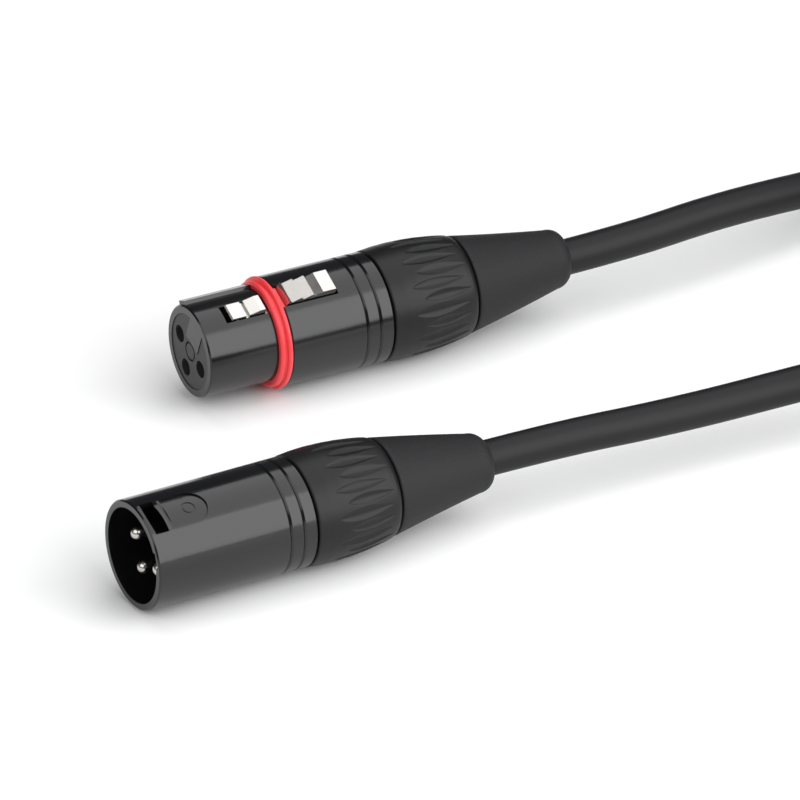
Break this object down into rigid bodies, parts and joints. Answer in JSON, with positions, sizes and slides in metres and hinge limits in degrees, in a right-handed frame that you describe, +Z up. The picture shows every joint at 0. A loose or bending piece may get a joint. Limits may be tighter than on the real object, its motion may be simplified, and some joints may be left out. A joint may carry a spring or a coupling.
{
  "type": "microphone cable",
  "caption": "Microphone cable with a female and a male three-contact locking connector, red colour ring, screw-on grips with boots, and a tied coil.",
  "frame": {"origin": "on the resting surface under the middle of the box around both connectors", "axes": "+X from the connectors' mating faces towards the coil, along the male connector's axis; +Y across from the male to the female connector; +Z up"},
  "size_m": [0.2837, 0.1002, 0.0266],
  "materials": {
    "lacquered_shell": "gloss black lacquer on die-cast zinc",
    "insert_plastic": "satin black moulding",
    "pin_metal": "bright nickel plate",
    "socket_metal": "plated brass",
    "latch_metal": "bright nickel plate",
    "spring_steel": "bare steel",
    "lug_metal": "tinned steel",
    "ring_plastic": "coral red moulding",
    "chuck_plastic": "black moulding",
    "grip_plastic": "satin black moulding",
    "boot_rubber": "fine grained black rubber",
    "cable_jacket": "satin black PVC",
    "drain_copper": "bare copper strand",
    "hot_wire": "red insulation",
    "cold_wire": "white insulation",
    "tie_fabric": "black hook and loop tape"
  },
  "bodies": {
    "cable": {"male_shell": "lacquered_shell", "male_insert": "insert_plastic", "male_pin_1": "pin_metal", "male_pin_2": "pin_metal", "male_pin_3": "pin_metal", "male_ground_lug": "lug_metal", "male_drain_wire": "drain_copper", "male_hot_wire": "hot_wire", "male_cold_wire": "cold_wire", "male_cable_end": "cable_jacket", "female_shell": "lacquered_shell", "female_insert": "insert_plastic", "female_socket_1": "socket_metal", "female_socket_2": "socket_metal", "female_socket_3": "socket_metal", "female_colour_ring": "ring_plastic", "female_latch_pin": "spring_steel", "female_latch_spring": "spring_steel", "female_ground_lug": "lug_metal", "female_drain_wire": "drain_copper", "female_hot_wire": "hot_wire", "female_cold_wire": "cold_wire", "female_cable_end": "cable_jacket", "female_lead": "cable_jacket", "male_lead": "cable_jacket", "cable_coil": "cable_jacket", "coil_tie": "tie_fabric"},
    "latch": {"female_latch": "latch_metal"},
    "female_chuck": {"female_chuck": "chuck_plastic"},
    "female_grip": {"female_grip": "grip_plastic", "female_boot": "boot_rubber"},
    "male_chuck": {"male_chuck": "chuck_plastic"},
    "male_grip": {"male_grip": "grip_plastic", "male_boot": "boot_rubber"}
  },
  "joints": [
    {"name": "latch_press", "type": "hinge", "parent": "cable", "child": "latch", "pos_m": [-0.00755, 0.02544, 0.01648], "axis": [0.0353, 0.9198, 0.3907], "range_deg": [0, 6.5], "stiffness_Nm_per_rad": 0.05, "springref_deg": -3.44, "deforming": ["female_latch_spring"]},
    {"name": "female_chuck_slide", "type": "slide", "parent": "cable", "child": "female_chuck", "axis": [0.9993, -0.0384, 0], "range_m": [0, 0.004]},
    {"name": "female_grip_turn", "type": "hinge", "parent": "female_chuck", "child": "female_grip", "pos_m": [0.01953, 0.02719, 0.0099], "axis": [0.9993, -0.0384, 0], "range_deg": [0, 1458]},
    {"name": "male_chuck_slide", "type": "slide", "parent": "cable", "child": "male_chuck", "axis": [1, 0, 0], "range_m": [0, 0.004]},
    {"name": "male_grip_turn", "type": "hinge", "parent": "male_chuck", "child": "male_grip", "pos_m": [-0.02644, -0.0277, 0.0099], "axis": [1, 0, 0], "range_deg": [0, 1458]}
  ],
  "couplings": [
    {"joint": "female_grip_turn", "follows": "female_chuck_slide", "rad_per_m": 6283.2},
    {"joint": "male_grip_turn", "follows": "male_chuck_slide", "rad_per_m": 6283.2}
  ]
}
